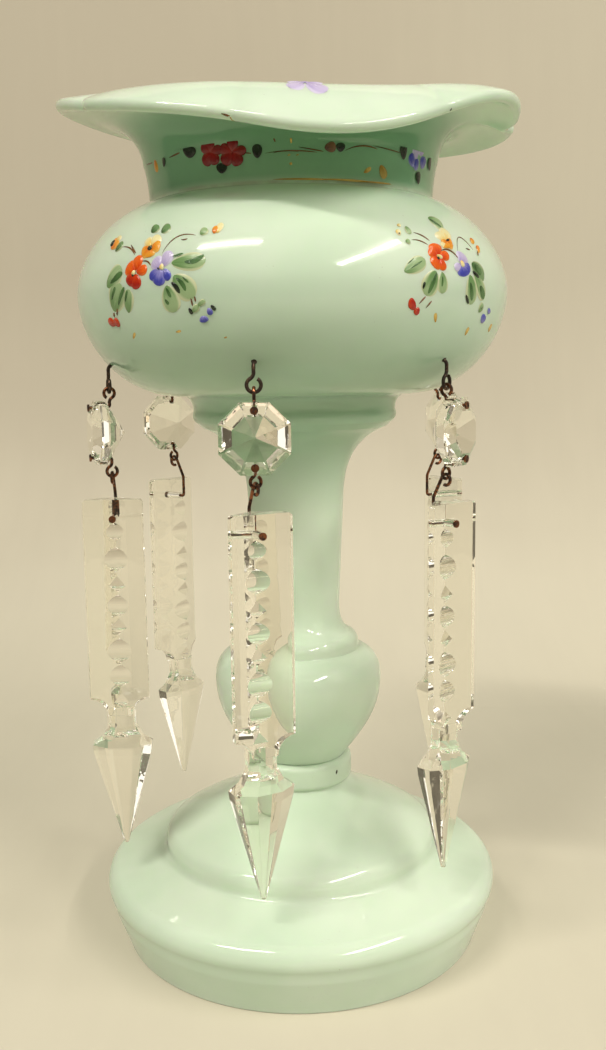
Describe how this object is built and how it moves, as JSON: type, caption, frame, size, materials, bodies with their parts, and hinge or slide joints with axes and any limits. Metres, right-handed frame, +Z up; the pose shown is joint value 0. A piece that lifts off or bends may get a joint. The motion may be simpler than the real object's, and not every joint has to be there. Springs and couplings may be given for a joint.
{
  "type": "mantel lustre",
  "caption": "Opaline glass mantel lustre: a wavy-rimmed bowl on a knopped stem and stepped foot, hung all round with cut octagon buttons and notched spear prisms on wire links.",
  "frame": {"origin": "middle of the face that the foot stands on", "axes": "+Z up the turned axis, -Y towards the front of the object, +X to the right as seen from the front"},
  "size_m": [0.1609, 0.1618, 0.3072],
  "materials": {
    "opaline": "polished opaline glass, fire-polished, with enamelled and gilt flower sprays",
    "crystal": "cut and polished clear lead crystal",
    "iron_wire": "dark oxidised iron wire",
    "copper_wire": "tarnished copper wire"
  },
  "bodies": {
    "stand": {"vase": "opaline", "stem": "opaline", "foot": "opaline"},
    "drop_pin_1": {"bowl_pin_1": "iron_wire"},
    "drop_button_1": {"button_top_wire_1": "copper_wire", "button_1": "crystal", "button_low_wire_1": "copper_wire"},
    "drop_prism_1": {"prism_wire_1": "copper_wire", "prism_1": "crystal"},
    "drop_pin_2": {"bowl_pin_2": "iron_wire"},
    "drop_button_2": {"button_top_wire_2": "copper_wire", "button_2": "crystal", "button_low_wire_2": "copper_wire"},
    "drop_prism_2": {"prism_wire_2": "copper_wire", "prism_2": "crystal"},
    "drop_pin_3": {"bowl_pin_3": "iron_wire"},
    "drop_button_3": {"button_top_wire_3": "copper_wire", "button_3": "crystal", "button_low_wire_3": "copper_wire"},
    "drop_prism_3": {"prism_wire_3": "copper_wire", "prism_3": "crystal"},
    "drop_pin_4": {"bowl_pin_4": "iron_wire"},
    "drop_button_4": {"button_top_wire_4": "copper_wire", "button_4": "crystal", "button_low_wire_4": "copper_wire"},
    "drop_prism_4": {"prism_wire_4": "copper_wire", "prism_4": "crystal"},
    "drop_pin_5": {"bowl_pin_5": "iron_wire"},
    "drop_button_5": {"button_top_wire_5": "copper_wire", "button_5": "crystal", "button_low_wire_5": "copper_wire"},
    "drop_prism_5": {"prism_wire_5": "copper_wire", "prism_5": "crystal"},
    "drop_pin_6": {"bowl_pin_6": "iron_wire"},
    "drop_button_6": {"button_top_wire_6": "copper_wire", "button_6": "crystal", "button_low_wire_6": "copper_wire"},
    "drop_prism_6": {"prism_wire_6": "copper_wire", "prism_6": "crystal"}
  },
  "joints": [
    {"name": "pin_turn_1", "type": "hinge", "parent": "stand", "child": "drop_pin_1", "pos_m": [-0.04966, 0.04471, 0.2143], "axis": [-0.548, 0.4934, -0.6754], "range_deg": [-6, 6]},
    {"name": "button_swing_1", "type": "hinge", "parent": "drop_pin_1", "child": "drop_button_1", "pos_m": [-0.05042, 0.0454, 0.20506], "axis": [0.8387, 0.5446, 0], "range_deg": [-3, 30]},
    {"name": "prism_swing_1", "type": "hinge", "parent": "drop_button_1", "child": "drop_prism_1", "pos_m": [-0.05042, 0.0454, 0.17587], "axis": [0.6691, 0.7431, 0], "range_deg": [-3, 35]},
    {"name": "pin_turn_2", "type": "hinge", "parent": "stand", "child": "drop_pin_2", "pos_m": [-0.06279, -0.02286, 0.2143], "axis": [-0.693, -0.2522, -0.6754], "range_deg": [-6, 6]},
    {"name": "button_swing_2", "type": "hinge", "parent": "drop_pin_2", "child": "drop_button_2", "pos_m": [-0.06376, -0.02321, 0.20506], "axis": [-0.342, 0.9397, 0], "range_deg": [-3, 30]},
    {"name": "prism_swing_2", "type": "hinge", "parent": "drop_button_2", "child": "drop_prism_2", "pos_m": [-0.06376, -0.02321, 0.17587], "axis": [-0.9994, -0.0349, 0], "range_deg": [-8, 8]},
    {"name": "pin_turn_3", "type": "hinge", "parent": "stand", "child": "drop_pin_3", "pos_m": [-0.0116, -0.06581, 0.2143], "axis": [-0.1281, -0.7262, -0.6754], "range_deg": [-6, 6]},
    {"name": "button_swing_3", "type": "hinge", "parent": "drop_pin_3", "child": "drop_button_3", "pos_m": [-0.01178, -0.06682, 0.20506], "axis": [-0.9994, -0.0349, 0], "range_deg": [-3, 30]},
    {"name": "prism_swing_3", "type": "hinge", "parent": "drop_button_3", "child": "drop_prism_3", "pos_m": [-0.01178, -0.06682, 0.17587], "axis": [-0.891, -0.454, 0], "range_deg": [-3, 35]},
    {"name": "pin_turn_4", "type": "hinge", "parent": "stand", "child": "drop_pin_4", "pos_m": [0.04887, -0.04557, 0.2143], "axis": [0.5393, -0.5029, -0.6754], "range_deg": [-6, 6]},
    {"name": "button_swing_4", "type": "hinge", "parent": "drop_pin_4", "child": "drop_button_4", "pos_m": [0.04962, -0.04627, 0.20506], "axis": [-0.5878, -0.809, 0], "range_deg": [-3, 30]},
    {"name": "prism_swing_4", "type": "hinge", "parent": "drop_button_4", "child": "drop_prism_4", "pos_m": [0.04962, -0.04627, 0.17587], "axis": [-0.7431, -0.6691, 0], "range_deg": [-3, 35]},
    {"name": "pin_turn_5", "type": "hinge", "parent": "stand", "child": "drop_pin_5", "pos_m": [0.05667, 0.03541, 0.2143], "axis": [0.6254, 0.3908, -0.6754], "range_deg": [-6, 6]},
    {"name": "button_swing_5", "type": "hinge", "parent": "drop_pin_5", "child": "drop_button_5", "pos_m": [0.05754, 0.03596, 0.20506], "axis": [0.5299, -0.848, 0], "range_deg": [-3, 30]},
    {"name": "prism_swing_5", "type": "hinge", "parent": "drop_button_5", "child": "drop_prism_5", "pos_m": [0.05754, 0.03596, 0.17587], "axis": [0.5299, -0.848, 0], "range_deg": [-3, 35]},
    {"name": "pin_turn_6", "type": "hinge", "parent": "stand", "child": "drop_pin_6", "pos_m": [0.00233, 0.06678, 0.2143], "axis": [0.0257, 0.737, -0.6754], "range_deg": [-6, 6]},
    {"name": "button_swing_6", "type": "hinge", "parent": "drop_pin_6", "child": "drop_button_6", "pos_m": [0.00237, 0.06781, 0.20506], "axis": [0.9994, -0.0349, 0], "range_deg": [-3, 30]},
    {"name": "prism_swing_6", "type": "hinge", "parent": "drop_button_6", "child": "drop_prism_6", "pos_m": [0.00237, 0.06781, 0.17587], "axis": [0.9994, -0.0349, 0], "range_deg": [-3, 35]}
  ]
}
